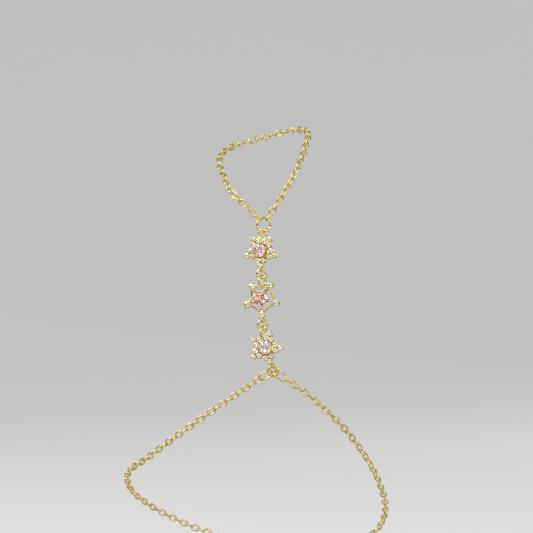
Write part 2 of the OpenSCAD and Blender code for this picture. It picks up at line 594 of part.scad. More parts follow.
// A cup at a tip of the open star, with four prongs
module open_cup() {
    translate([0, 0, OPEN_CUP_TOP - OPEN_CUP_DEPTH]) cylinder(r = OPEN_CUP_R, h = OPEN_CUP_DEPTH);
    for (b = [0:3]) rotate([0, 0, 45 + 90 * b]) translate([OPEN_CUP_R + CUP_PRONG_OUT, 0, 0])
        prong(CUP_PRONG, CUP_PRONG_FOOT, OPEN_CUP_TOP + STONE_RISE);
}
module middle_star() {
    color("gold") in_pose(MIDDLE_POSE) {
        difference() {
            union() {
                for (a = NOTCHES) rotate([0, 0, a]) frame_arc();
                for (a = ARMS) rotate([0, 0, a]) {
                    rod([star_stone_notch_r * HUB_SHARE, 0, 0], [open_tip_r, 0, 0], SPOKE_WIRE);
                    translate([open_tip_r, 0, 0]) open_cup();
                    translate([star_stone_tip_r + TIP_PRONG_OUT, 0, 0])
                        prong(TIP_PRONG, -SPOKE_WIRE / 2, STAR_STONE_Z);
                }
                translate([0, 0, -HUB_THICK / 2]) linear_extrude(HUB_THICK)
                    polygon(star_outline(star_stone_tip_r * HUB_SHARE, star_stone_notch_r * HUB_SHARE));
                setting_rail();
            }
            for (a = ARMS) rotate([0, 0, a]) translate([open_tip_r, 0, OPEN_CUP_TOP - OPEN_SEAT_DEPTH])
                cylinder(d = open_stone_d * SEAT_SHARE, h = OPEN_SEAT_DEPTH + CUP_PRONG[1]);
        }
        bail(1);
        bail_post(1, open_notch_r - frame_wire / 2, MIDDLE_POST_WIRE);
        eye(1);
    }
}

module seat_stone(pose, k) {
    seat = SEATS[k - 1];
    color("white") in_pose(pose) translate(seat[0] + [0, 0, STAR_HALF + CUP_RISE + STONE_RISE])
        small_stone(seat[1]);
}
module open_stone(k) {
    color("white") in_pose(MIDDLE_POSE) rotate([0, 0, ARMS[k - 1]])
        translate([open_tip_r, 0, OPEN_CUP_TOP + STONE_RISE]) small_stone(open_stone_d);
}
module centre_stone(pose) {
    color("pink") in_pose(pose) translate([0, 0, CENTRE_GIRDLE_Z]) round_stone(centre_stone_d);
}
module middle_centre_stone() {
    color("pink") in_pose(MIDDLE_POSE) translate([0, 0, STAR_STONE_Z])
        star_stone(star_stone_tip_r, star_stone_notch_r);
}

finger_chain();
wrist_chain_left();
wrist_chain_right();
finger_ring();
joiner_ring(UPPER_RING_AT);  // upper_joiner_ring
joiner_ring(LOWER_RING_AT);  // lower_joiner_ring
wrist_ring();
oval_link_left();
oval_link_right();
clasp();
clasp_ring();
upper_star();
middle_star();
lower_star();
centre_stone(UPPER_POSE);  // upper_centre_stone
middle_centre_stone();
centre_stone(LOWER_POSE);  // lower_centre_stone
for (k = [1:15]) seat_stone(UPPER_POSE, k);
for (k = [1:5]) open_stone(k);
for (k = [1:15]) seat_stone(LOWER_POSE, k);
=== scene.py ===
import math

import bpy
import numpy as np
from mathutils import Matrix, Vector


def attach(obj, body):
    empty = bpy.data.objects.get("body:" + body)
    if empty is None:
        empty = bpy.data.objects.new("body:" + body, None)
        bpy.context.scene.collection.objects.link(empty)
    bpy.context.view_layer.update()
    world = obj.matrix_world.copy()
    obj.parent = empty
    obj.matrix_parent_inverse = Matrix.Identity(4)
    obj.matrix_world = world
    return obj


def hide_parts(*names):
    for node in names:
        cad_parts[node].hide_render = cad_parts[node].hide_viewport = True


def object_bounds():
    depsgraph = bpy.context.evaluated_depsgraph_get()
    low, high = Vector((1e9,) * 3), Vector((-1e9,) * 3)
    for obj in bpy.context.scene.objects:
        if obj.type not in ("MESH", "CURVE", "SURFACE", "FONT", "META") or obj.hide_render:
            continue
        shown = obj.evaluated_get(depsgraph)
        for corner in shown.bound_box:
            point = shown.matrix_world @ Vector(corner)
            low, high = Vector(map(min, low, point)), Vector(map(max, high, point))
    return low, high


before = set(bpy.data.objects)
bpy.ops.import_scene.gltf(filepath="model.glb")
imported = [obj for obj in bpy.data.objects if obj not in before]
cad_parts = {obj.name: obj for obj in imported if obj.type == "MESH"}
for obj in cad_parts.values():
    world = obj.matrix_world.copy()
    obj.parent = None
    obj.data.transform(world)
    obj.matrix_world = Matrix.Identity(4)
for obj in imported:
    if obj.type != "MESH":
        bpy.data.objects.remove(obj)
cad_low, cad_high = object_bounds()

# Pieces are modelled in millimetres round their own middle, and come to metres as they are put in place
MM = 0.001
MERGE = 0.00001
# A stone's points that reach this share of its widest lie on its girdle
GIRDLE_REACH = 0.98

# Faces that meet at less than this many degrees are shaded as one round surface. Stones stay flat
SMOOTH_WIRE = 60
SMOOTH_ROD = 50
SMOOTH_CUP = 40
SMOOTH_PLATE = 30
FLAT = 0

# The picture shows this much of the charms' plane, seen from this far in front of it
PICTURE_W = 138.6
CAMERA_AWAY = 700
SENSOR = 36
CHARMS_MIDDLE = (2.73, -21, 55.5)

# The stage, in metres
FLOOR_GAP = 0.006
FLOOR_R = 0.8
FLOOR_BEND = 1.0
FLOOR_SIDES = 96
CORNER_STEPS = 16
WALL_TOP = 1.3

# Wire loops: segments round the loop and round the wire, and what the soldered seam keeps of the wire.
# A seam is cut this share of the wire to each side. Points this near in cosine share a section
LINK_SIDES = (22, 8)
LINK_SEAM = 0.9
LOOP_SIDES = (42, 14)
LOOP_SEAM = 0.88
BAIL_SIDES = (38, 12)
EYE_SIDES = (30, 10)
NO_SEAM = 1
SEAM_HALF = 0.09
SAME_WAY = 0.9994

# Stone-set stars. Heights are over the middle of the star's plate. A cup's seat is bored to a share of
# its stone's radius and narrows to a share of that, and each seat is its place on an arm and its stone
STAR_TIP = 4.65
STAR_NOTCH = 2.5
PLATE = 0.9
BORDER = 0.16
FIELD_SUNK = 0.12
EDGE_ROUND = 0.05
CUP_WALL = 0.12
CUP_TOP = 0.57
CUP_DEPTH = 0.5
CUP_SEAT = 0.88
CUP_PIT = 0.45
GIRDLE_OVER_PLATE = 0.67
POCKET_FLOOR = -0.2
SOLDER_LAP = 0.02
SEAT_PLACES = [(2.52, -0.74, 0.58), (2.52, 0.74, 0.58), (3.84, 0, 0.5)]
STARS = {
    "upper": {
        "spin": 0, "bail_d": 3.1, "bail_at": (0, 4.52, -0.25), "bail_lean": 0, "bail_turn": -12,
        "post_end": 3.22, "eye_reach": 0.63, "eye_at": (0, -4.6, -0.98),
    },
    "middle": {
        "spin": 4, "bail_d": 3.5, "bail_at": (0, 4.6125, 0), "bail_lean": -3, "bail_turn": 70,
        "post_end": 3.1125, "eye_reach": 0.63, "eye_at": (0, -5.57, 0),
    },
    "lower": {
        "spin": 19.5, "bail_d": 3.5, "bail_at": (0, 4.3, 0), "bail_lean": -9, "bail_turn": 70,
        "post_end": 2.8, "eye_reach": 0.705, "eye_at": (0.308, -4.9, -1.055),
    },
}
BAIL_WIRE = 0.5
EYE_WIRE = 0.32
POST_START = 2.2
POST_WIRE = 0.62
SOLDER_FLARE = 1.3
SOLDER_LONG = 0.08

# Prongs: the wire, its ball's radius, its lean over the stone, and the ball's height over the girdle
CENTRE_PRONG = {"wire": 0.36, "ball": 0.2, "lean": 0.16, "rise": 0.34}
CUP_PRONG = {"wire": 0.3, "ball": 0.2, "lean": -0.12, "rise": 0.2}
TIP_PRONG = {"wire": 0.3, "ball": 0.21, "lean": 0.05, "rise": 0.36}
BEAD = {"wire": 0.28, "ball": 0.17, "lean": 0.03, "rise": 0.02}
CENTRE_PRONG_R = 1.93
CENTRE_GIRDLE = 1.4
BEAD_PLACES = [(3.33, -0.84), (3.33, 0.84), (4.48, 0)]

# The basket under a round stone: radius and height of its corners, outside and inside
BASKET_OUTSIDE = [(1.474, 0), (1.8, 1.08), (1.8, 1.2)]
BASKET_INSIDE = [(1.542, 1.2), (1.054, 0.79), (1.054, 0)]
BASKET_SIDES = 48
SEAT_SIDES = 28

# The open star. Its wires end inside the wall of each tip's cup
OPEN_TIP = 4.2
OPEN_NOTCH = 3
FRAME_WIRE = 0.45
ARC_STEPS = 14
OPEN_CUP_R = 0.79
OPEN_CUP_TOP = 0.42
OPEN_CUP_LOW = -0.38
OPEN_CUP_BORE = 0.57
OPEN_SEAT = 0.6
OPEN_GIRDLE = 0.52
OPEN_POST_WIRE = 0.5
CUP_PRONG_R = 0.85
CUP_PRONG_FOOT = -0.2
WIRE_IN_WALL = 0.6
SPOKE_WIRE = 0.34
STAR_STONE_AT = 1.6
HUB_SHARE = 0.6
HUB = 0.4
RAIL_LOW = 1.05
RAIL_HIGH = 0.35
RAIL_EDGE = 0.12
RAIL_HOLLOW = 0.88
TIP_PRONG_R = 2.82

# Stones. The small ones have a higher crown and a thicker girdle for their size
SMALL_CUT = {"table": 0.58, "crown": 0.34, "girdle": 0.1}
OPEN_STONE_R = 0.65
ROUND_STONE_R = 1.7
STAR_STONE_TIP = 2.6
STAR_STONE_NOTCH = 1.6
STAR_STONE_GIRDLE = 0.14
STAR_STONE_FOOT = 1.15
# The two steps of its crown: the outline's share at the top of the step, and the step's height
STAR_STONE_CROWN = [(0.8, 0.26), (0.42, 0.36)]

ARMS = [54 + 72 * k for k in range(5)]
NOTCHES = [90 + 72 * k for k in range(5)]
LOWEST_ARM = 3


def take(piece):
    """piece becomes the one selected and active object."""
    bpy.ops.object.select_all(action="DESELECT")
    piece.select_set(True)
    bpy.context.view_layer.objects.active = piece
    return piece


def started(name):
    """The primitive just added, under its own name and with its place in its mesh."""
    piece = bpy.context.active_object
    piece.name = piece.data.name = name
    bpy.ops.object.transform_apply(location=True, rotation=True, scale=True)
    return piece


def pick(piece, kind, test):
    """Enters edit mode with the vertices, or the faces, of piece that pass the test selected."""
    take(piece)
    bpy.ops.object.mode_set(mode="EDIT")
    bpy.ops.mesh.select_mode(type=kind)
    bpy.ops.mesh.select_all(action="DESELECT")
    bpy.ops.object.mode_set(mode="OBJECT")
    if kind == "VERT":
        for v in piece.data.vertices:
            v.select = bool(test(v.co))
    else:
        for f in piece.data.polygons:
            f.select = bool(test(f.center, f.normal))
    bpy.ops.object.mode_set(mode="EDIT")


def leave():
    bpy.ops.object.mode_set(mode="OBJECT")


def closed(piece, smooth_angle):
    """Merges doubles, turns the faces outwards and shades round surfaces smooth."""
    take(piece)
    bpy.ops.object.mode_set(mode="EDIT")
    bpy.ops.mesh.select_all(action="SELECT")
    bpy.ops.mesh.remove_doubles(threshold=MERGE)
    bpy.ops.mesh.normals_make_consistent(inside=False)
    leave()
    if smooth_angle:
        bpy.ops.object.shade_smooth_by_angle(angle=math.radians(smooth_angle))
    else:
        bpy.ops.object.shade_flat()
    return piece


def moved(piece, place):
    take(piece)
    piece.matrix_world = place
    bpy.ops.object.transform_apply(location=True, rotation=True, scale=True)
    return piece


def copied(piece, name, place):
    """A copy of piece with its own mesh, put in place."""
    take(piece)
    bpy.ops.object.duplicate()
    copy = bpy.context.active_object
    copy.name = copy.data.name = name
    return moved(copy, place)


def joined(pieces, name):
    """The pieces as one object under this name."""
    bpy.ops.object.select_all(action="DESELECT")
    for piece in pieces:
        piece.select_set(True)
    bpy.context.view_layer.objects.active = pieces[0]
    if len(pieces) > 1:
        bpy.ops.object.join()
    whole = bpy.context.active_object
    whole.name = whole.data.name = name
    return whole


def scrapped(*pieces):
    """Takes patterns and cutters that have served off the bench."""
    for piece in pieces:
        bpy.data.objects.remove(piece)


def cut_away(piece, cutter):
    """Takes the cutter's shape out of piece."""
    take(piece)
    bpy.ops.object.modifier_add(type="BOOLEAN")
    cut = piece.modifiers[-1]
    cut.operation = "DIFFERENCE"
    cut.solver = "EXACT"
    cut.object = cutter
    bpy.ops.object.modifier_apply(modifier=cut.name)
    scrapped(cutter)
    return piece


def turned(axis, degrees):
    return Matrix.Rotation(math.radians(degrees), 4, axis)


def at(x, y=0.0, z=0.0):
    return Matrix.Translation((x, y, z))


def grown(factor, height):
    """Scales what is selected in X and Y, round the piece's own axis at this height."""
    bpy.ops.transform.resize(value=(factor, factor, 1), center_override=(0, 0, height))


def raised(step):
    """Extrudes the selected faces straight up by this much, or down."""
    bpy.ops.mesh.extrude_region_move(TRANSFORM_OT_translate={"value": (0, 0, step)})


# Places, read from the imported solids
def points_of(*nodes):
    """The nodes' points, each once, in millimetres."""
    rows = [v.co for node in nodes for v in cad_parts[node].data.vertices]
    return np.unique(np.round(np.array(rows, float) / MM, 4), axis=0)


def unit(way):
    return way / np.linalg.norm(way)


def spread(points):
    """Middle, axes from the shortest reach to the longest, and the full sizes along them."""
    axes = np.linalg.eigh(np.cov((points - points.mean(axis=0)).T))[1].T
    along = points @ axes.T
    low, high = along.min(axis=0), along.max(axis=0)
    return (low + high) / 2 @ axes, axes, high - low


def basis(middle, right, up, face):
    """The matrix that takes a piece's own X, Y and Z, in millimetres, to these ways in metres."""
    rows = [[right[i] * MM, up[i] * MM, face[i] * MM, middle[i] * MM] for i in range(3)]
    return Matrix(rows + [[0, 0, 0, 1]])


def loop_place(points, seam_way=None):
    """Where a wire loop lies: its place, length, width and wire. Its seam is on the side of seam_way."""
    middle, (face, across, along), (wire, width, length) = spread(points)
    if seam_way is not None:
        across = np.array(seam_way, float)
        across = unit(across - (across @ face) * face)
        along = np.cross(across, face)
    place = basis(middle, along, across, np.cross(along, across))
    return place, float(length), float(width), float(wire)


def star_place(name, tips, girdle):
    """The place of a star, from the middles of the five small stones at its tips."""
    stones = np.array([points_of(f"{name}_stone_{k}").mean(axis=0) for k in tips])
    middle = stones.mean(axis=0)
    face = sum(np.cross(stones[k] - middle, stones[(k + 1) % 5] - middle) for k in range(5))
    face = unit(face)
    up = middle - stones[LOWEST_ARM]
    up = unit(up - (up @ face) * face)
    right = np.cross(up, face)
    points = points_of(f"{name}_stone_{tips[0]}")
    heights = (points - middle) @ face
    reach = np.linalg.norm(points - stones[0] - np.outer(heights, face), axis=1)
    girdle_height = heights[reach > reach.max() * GIRDLE_REACH].min()
    return basis(middle + (girdle_height - girdle) * face, right, up, face)


# Wire and rod
def drawn_oval(loop, stretch, around):
    """Moves each section of a round loop along X, the ends first, until the loop is an oval."""
    turns = [math.tau * k / around for k in range(around)]
    for turn in sorted(turns, key=lambda angle: abs(math.sin(angle))):
        x, y = math.cos(turn), math.sin(turn)
        pick(loop, "VERT", lambda p: p.x * x + p.y * y > SAME_WAY * math.hypot(p.x, p.y))
        bpy.ops.transform.translate(value=(stretch * x, 0, 0))
        leave()


def wire_loop(name, length, width, wire, sides, seam, oval=False):
    """A closed loop of round wire, long in X and flat in Z, with a soldered seam across its +Y side.

    Its sides are straight, or bowed all the way as an oval's.
    """
    around, across = sides
    bend = (width - wire) / 2
    bpy.ops.mesh.primitive_torus_add(
        major_segments=around, minor_segments=across, major_radius=bend, minor_radius=wire / 2
    )
    loop = started(name)
    straight = (length - width) / 2
    if oval:
        drawn_oval(loop, straight, around)
    else:
        for side in (-1, 1):
            pick(loop, "VERT", lambda p: side * p.x > 0)
            bpy.ops.transform.translate(value=(side * straight, 0, 0))
            leave()
    if seam < NO_SEAM:
        half = wire * SEAM_HALF
        reach = straight + bend * math.sin(math.pi / around) + MERGE
        for x in (-half, 0, half):
            pick(loop, "FACE", lambda c, n: c.y > 0 and abs(c.x) < reach)
            bpy.ops.mesh.bisect(plane_co=(x, 0, 0), plane_no=(1, 0, 0))
            leave()
        pick(loop, "VERT", lambda p: p.y > 0 and abs(p.x) < half / 2)
        bpy.ops.transform.resize(value=(1, seam, seam), center_override=(0, bend, 0))
        leave()
    return closed(loop, SMOOTH_WIRE)


def rod(name, start, end, wire, sides=14):
    """A straight wire with a flare of solder at each end."""
    start, end = Vector(start), Vector(end)
    way = end - start
    bpy.ops.mesh.primitive_cylinder_add(
        vertices=sides, radius=wire / 2, depth=way.length, location=(start + end) / 2,
        rotation=way.to_track_quat("Z", "Y").to_euler()
    )
    bar = started(name)
    for middle, step in ((start, way.normalized()), (end, -way.normalized())):
        pick(bar, "FACE", lambda c, n: (c - middle).length < wire / 4)
        bpy.ops.mesh.extrude_region_move(TRANSFORM_OT_translate={"value": -step * SOLDER_LONG})
        bpy.ops.transform.resize(value=(SOLDER_FLARE,) * 3, center_override=middle - step * SOLDER_LONG)
        leave()
    return closed(bar, SMOOTH_ROD)


# How a prong swells to its ball: height in balls from the ball's middle, and radius in balls
BALL_STEPS = [(-0.75, 0.78), (-0.35, 0.95), (0.1, 1), (0.5, 0.84), (0.8, 0.56), (0.96, 0.22)]
# A prong leans from its neck up, and all the way by this height in balls over the neck
LEANT_BY = 1.1


def prong(name, kind, foot, girdle, sides=12):
    """A prong that stands at the origin's X and Y and leans over the stone towards -X."""
    ball, top = kind["ball"], girdle + kind["rise"]
    neck = top - ball
    bpy.ops.mesh.primitive_cylinder_add(
        vertices=sides, radius=kind["wire"] / 2, depth=neck - foot, location=(0, 0, (neck + foot) / 2)
    )
    post = started(name)
    x, z, radius = 0, neck, kind["wire"] / 2
    for up, out in BALL_STEPS:
        lean = -kind["lean"] * min(1, (up + 1) / LEANT_BY)
        pick(post, "FACE", lambda c, n: n.z > 0.5 and abs(c.z - z) < MERGE)
        bpy.ops.mesh.extrude_region_move(
            TRANSFORM_OT_translate={"value": (lean - x, 0, top + up * ball - z)}
        )
        x, z = lean, top + up * ball
        bpy.ops.transform.resize(value=(out * ball / radius,) * 2 + (1,), center_override=(x, 0, z))
        radius = out * ball
        leave()
    return closed(post, SMOOTH_WIRE)


def cup(name, radius, low, top, bore, depth):
    """A round cup with a rounded rim and a seat that narrows downwards."""
    bpy.ops.mesh.primitive_cylinder_add(
        vertices=SEAT_SIDES, radius=radius, depth=top - low, location=(0, 0, (top + low) / 2)
    )
    wall = started(name)
    rim = (radius - bore) / 3
    steps = [
        (rim / 2, (radius - rim) / radius), (0, (bore + rim) / (radius - rim)),
        (-rim / 2, bore / (bore + rim)), (-depth, CUP_PIT),
    ]
    pick(wall, "FACE", lambda c, n: n.z > 0.5)
    for step, factor in steps:
        raised(step)
        grown(factor, top)
    leave()
    return closed(wall, SMOOTH_CUP)


def star_slab(name, tip, notch, low, thick):
    """A flat star with one notch straight up."""
    bpy.ops.mesh.primitive_circle_add(vertices=10, radius=tip, fill_type="NGON", location=(0, 0, low))
    slab = started(name)
    pick(slab, "VERT", lambda p: round((math.degrees(math.atan2(p.y, p.x)) - 90) / 36) % 2 == 0)
    grown(notch / tip, low)
    leave()
    pick(slab, "FACE", lambda c, n: True)
    raised(thick)
    leave()
    return closed(slab, SMOOTH_PLATE)


def rounded(piece):
    """Rounds all edges of a slab."""
    take(piece)
    bpy.ops.object.modifier_add(type="BEVEL")
    bevel = piece.modifiers[-1]
    bevel.width = EDGE_ROUND
    bevel.segments = 2
    bevel.limit_method = "ANGLE"
    bpy.ops.object.modifier_apply(modifier=bevel.name)
    return closed(piece, SMOOTH_PLATE)


def disc_cutter(name, radius, low, high, sides):
    """A plain disc that bores a hole of this radius and is used up by it."""
    bpy.ops.mesh.primitive_cylinder_add(
        vertices=sides, radius=radius, depth=high - low, location=(0, 0, (low + high) / 2)
    )
    return started(name)


def basket():
    """The round basket under a centre stone, open right through."""
    (low_r, low), (rim_r, rim_low), (_, rim) = BASKET_OUTSIDE
    bpy.ops.mesh.primitive_cone_add(
        vertices=BASKET_SIDES, radius1=low_r, radius2=rim_r, depth=rim_low - low,
        location=(0, 0, (low + rim_low) / 2)
    )
    wall = started("basket")
    pick(wall, "FACE", lambda c, n: n.z > 0.9)
    radius, height = rim_r, rim_low
    for next_r, next_z in [(rim_r, rim)] + BASKET_INSIDE:
        raised(next_z - height)
        grown(next_r / radius, next_z)
        radius, height = next_r, next_z
    leave()
    pick(wall, "FACE", lambda c, n: n.z < -0.9)
    raised(0)
    grown(BASKET_INSIDE[-1][0] / low_r, low)
    leave()
    pick(wall, "FACE", lambda c, n: abs(n.z) > 0.9 and (c - Vector((0, 0, low))).length < MERGE)
    bpy.ops.mesh.delete(type="FACE")
    leave()
    return closed(wall, SMOOTH_PLATE)


def bail_and_eye(which, wire_start, wire):
    """The bail over a star, its post, and the eye under the star."""
    star = STARS[which]
    upright = turned("Z", -star["spin"])
    lean = turned("Z", star["bail_lean"])
    d = star["bail_d"]
    bail_at = lean @ Vector(star["bail_at"])
    bail = moved(
        wire_loop("bail", d, d, BAIL_WIRE, BAIL_SIDES, NO_SEAM),
        at(*bail_at) @ upright @ turned("Y", star["bail_turn"])
    )
    eye_d = 2 * star["eye_reach"] + EYE_WIRE
    eye = moved(
        wire_loop("eye", eye_d, eye_d, EYE_WIRE, EYE_SIDES, NO_SEAM),
        at(*star["eye_at"]) @ upright @ turned("Y", 90)
    )
    post = rod("post", (0, wire_start, 0), lean @ Vector((0, star["post_end"], 0)), wire)
    return [bail, eye, post]


def seats():
    """Place and stone radius of the fifteen seats, three to an arm."""
    for arm in ARMS:
        for out, side, radius in SEAT_PLACES:
            yield turned("Z", arm) @ at(out, side), radius


def stone_set_star(which):
    """The whole setting of the upper or lower star, in its own frame."""
    plate = star_slab("plate", STAR_TIP, STAR_NOTCH, -PLATE / 2, PLATE)
    pick(plate, "FACE", lambda c, n: n.z > 0.5)
    bpy.ops.mesh.inset(thickness=BORDER)
    raised(-FIELD_SUNK)
    leave()
    plate = rounded(plate)
    seat_cutters = []
    parts = []
    for place, radius in seats():
        wall = radius + CUP_WALL
        cutter = disc_cutter("seat_hole", wall - SOLDER_LAP, -PLATE, PLATE, SEAT_SIDES)
        seat_cutters.append(moved(cutter, place))
        seat = cup("cup", wall, -(PLATE + SOLDER_LAP) / 2, CUP_TOP, radius * CUP_SEAT, CUP_DEPTH)
        parts.append(moved(seat, place))
    cut_away(plate, joined(seat_cutters, "seat_holes"))
    cut_away(plate, disc_cutter("pocket", BASKET_INSIDE[-1][0], POCKET_FLOOR, PLATE, BASKET_SIDES))
    parts.append(basket())
    bead = prong("bead", BEAD, 0, GIRDLE_OVER_PLATE)
    claw = prong("claw", CENTRE_PRONG, 0, CENTRE_GIRDLE)
    for arm in ARMS:
        for out, side in BEAD_PLACES:
            parts.append(copied(bead, "bead", turned("Z", arm) @ at(out, side)))
    for notch in NOTCHES:
        parts.append(copied(claw, "claw", turned("Z", notch) @ at(CENTRE_PRONG_R)))
    scrapped(bead, claw)
    parts += bail_and_eye(which, POST_START, POST_WIRE)
    return joined([closed(plate, SMOOTH_PLATE)] + parts, f"{which}_setting")


def frame_arc():
    """A bowed wire of the open star, from one tip to the next round the notch on +X."""
    half_chord = OPEN_TIP * math.sin(math.radians(36))
    bow = OPEN_TIP * math.cos(math.radians(36)) - OPEN_NOTCH
    bend = (half_chord**2 + bow**2) / (2 * bow)
    half = math.asin(half_chord / bend) - WIRE_IN_WALL / bend
    middle_x = OPEN_NOTCH + bend
    bpy.ops.mesh.primitive_circle_add(
        vertices=12, radius=FRAME_WIRE / 2,
        location=(middle_x - bend * math.cos(half), -bend * math.sin(half), 0),
        rotation=(math.pi / 2, 0, half)
    )
    arc = started("frame_arc")
    bpy.ops.object.mode_set(mode="EDIT")
    bpy.ops.mesh.select_all(action="SELECT")
    bpy.ops.mesh.spin(steps=ARC_STEPS, angle=2 * half, center=(middle_x, 0, 0), axis=(0, 0, 1))
    bpy.ops.mesh.select_all(action="SELECT")
    bpy.ops.mesh.fill_holes(sides=0)
    leave()
    return closed(arc, SMOOTH_WIRE)


def open_star():
    """The middle star: bowed frame, cups with four prongs, spokes, and the star stone's rail and prongs."""
    arc = frame_arc()
    tip_cup = cup("cup", OPEN_CUP_R, OPEN_CUP_LOW, OPEN_CUP_TOP, OPEN_CUP_BORE, OPEN_SEAT)
    cup_claw = prong("claw", CUP_PRONG, CUP_PRONG_FOOT, OPEN_GIRDLE)
    tip_claw = prong("tip_claw", TIP_PRONG, -SPOKE_WIRE / 2, STAR_STONE_AT)
    spoke = rod("spoke", (STAR_STONE_NOTCH * HUB_SHARE, 0, 0), (OPEN_TIP - WIRE_IN_WALL, 0, 0), SPOKE_WIRE)
    hub = star_slab("hub", STAR_STONE_TIP * HUB_SHARE, STAR_STONE_NOTCH * HUB_SHARE, -HUB / 2, HUB)
    rail = star_slab("rail", TIP_PRONG_R, STAR_STONE_NOTCH + RAIL_EDGE, RAIL_LOW, RAIL_HIGH)
    hollow_tip, hollow_notch = STAR_STONE_TIP * RAIL_HOLLOW, STAR_STONE_NOTCH * RAIL_HOLLOW
    cut_away(rail, star_slab("rail_hollow", hollow_tip, hollow_notch, RAIL_LOW - HUB, RAIL_HIGH + 2 * HUB))
    parts = [rounded(hub), rounded(rail)]
    for notch in NOTCHES:
        parts.append(copied(arc, "frame_arc", turned("Z", notch)))
    for arm in ARMS:
        way = turned("Z", arm)
        parts.append(copied(spoke, "spoke", way))
        parts.append(copied(tip_cup, "cup", way @ at(OPEN_TIP)))
        parts.append(copied(tip_claw, "tip_claw", way @ at(TIP_PRONG_R)))
        for k in range(4):
            place = way @ at(OPEN_TIP) @ turned("Z", 45 + 90 * k) @ at(CUP_PRONG_R)
            parts.append(copied(cup_claw, "claw", place))
    scrapped(arc, tip_cup, cup_claw, tip_claw, spoke)
    parts += bail_and_eye("middle", OPEN_NOTCH - FRAME_WIRE / 2, OPEN_POST_WIRE)
    return joined(parts, "middle_setting")


# Stones
def polar(radius, degrees, z):
    a = math.radians(degrees)
    return Vector((radius * math.cos(a), radius * math.sin(a), z))


def facet(stone, a, b, c):
    """Cuts the stone flat through three points, and keeps the side that holds its middle."""
    normal = (b - a).cross(c - a).normalized()
    if normal.dot(a) < 0:
        normal = -normal
    take(stone)
    bpy.ops.object.mode_set(mode="EDIT")
    bpy.ops.mesh.select_all(action="SELECT")
    bpy.ops.mesh.bisect(plane_co=a, plane_no=normal, use_fill=True, clear_outer=True, threshold=MERGE)
    leave()


# How far the star facets reach past the table, and the lower ones from the foot, in shares of the radius
STAR_FACET = 0.22
LOWER_FACET = 0.24


def brilliant(name, r, table=0.56, crown=0.32, girdle=0.06, foot=0.84):
    """A round brilliant of radius r, cut from a blank of sixteen sides. Its girdle starts at z = 0.

    The other measures are shares of the radius.
    """
    table_r, star_r, lower_r = table * r, (table + STAR_FACET) * r, LOWER_FACET * r
    g, top, culet = girdle * r, (girdle + crown) * r, -foot * r
    half, side = 360 / 16, math.radians(360 / 16)
    star_z = top - crown * r * (star_r * math.cos(side) - table_r) / (r - table_r)
    lower_z = culet * (r - lower_r * math.cos(side)) / r
    bpy.ops.mesh.primitive_cylinder_add(
        vertices=16, radius=r, depth=top - culet, location=(0, 0, (top + culet) / 2)
    )
    stone = started(name)
    for k in range(8):
        a = 2 * half * k
        corner = polar(table_r, a, top)
        star, star_before = polar(star_r, a + half, star_z), polar(star_r, a - half, star_z)
        lower, lower_before = polar(lower_r, a + half, lower_z), polar(lower_r, a - half, lower_z)
        facet(stone, corner, star, star_before)
        facet(stone, corner, polar(table_r, a + 2 * half, top), star)
        for b in (a, a + half):
            facet(stone, star, polar(r, b, g), polar(r, b + half, g))
            facet(stone, polar(r, b, 0), polar(r, b + half, 0), lower)
        facet(stone, polar(r, a, 0), lower, lower_before)
    return closed(stone, FLAT)


def star_cut(name):
    """The star-shaped stone: a star table, a crown in two steps, and facets to a point below."""
    stone = star_slab(name, STAR_STONE_TIP, STAR_STONE_NOTCH, 0, STAR_STONE_GIRDLE)
    kept, height = 1, STAR_STONE_GIRDLE
    for share, rise in STAR_STONE_CROWN:
        pick(stone, "FACE", lambda c, n: n.z > 0.9 and abs(c.z - height) < MERGE)
        raised(rise)
        grown(share / kept, height)
        leave()
        kept, height = share, height + rise
    pick(stone, "FACE", lambda c, n: n.z < -0.9)
    raised(-STAR_STONE_FOOT)
    bpy.ops.mesh.merge(type="CENTER")
    leave()
    return closed(stone, FLAT)


# Finishes
def shader_node(tree, kind, **values):
    """A new node with these sockets set, its underscores read as spaces."""
    node = tree.nodes.new(kind)
    for key, value in values.items():
        node.inputs[key.replace("_", " ")].default_value = value
    return node


def math_node(tree, operation):
    node = tree.nodes.new("ShaderNodeMath")
    node.operation = operation
    return node


def new_effect(name, taken, given):
    """An empty node group with these sockets, each a name and a kind, and its two ends."""
    group = bpy.data.node_groups.new(name, "ShaderNodeTree")
    for in_out, sockets in (("INPUT", taken), ("OUTPUT", given)):
        for socket, kind in sockets.items():
            group.interface.new_socket(socket, in_out=in_out, socket_type="NodeSocket" + kind)
    return group, group.nodes.new("NodeGroupInput"), group.nodes.new("NodeGroupOutput")


def cloud_mix(tree, clouds, low, high):
    """A mix of two colours that follows the clouds from low to high."""
    mix = tree.nodes.new("ShaderNodeMix")
    mix.data_type = "RGBA"
    share = shader_node(tree, "ShaderNodeMapRange", From_Min=low, From_Max=high)
    tree.links.new(clouds.outputs["Fac"], share.inputs["Value"])
    tree.links.new(share.outputs["Result"], mix.inputs["Factor"])
    return mix


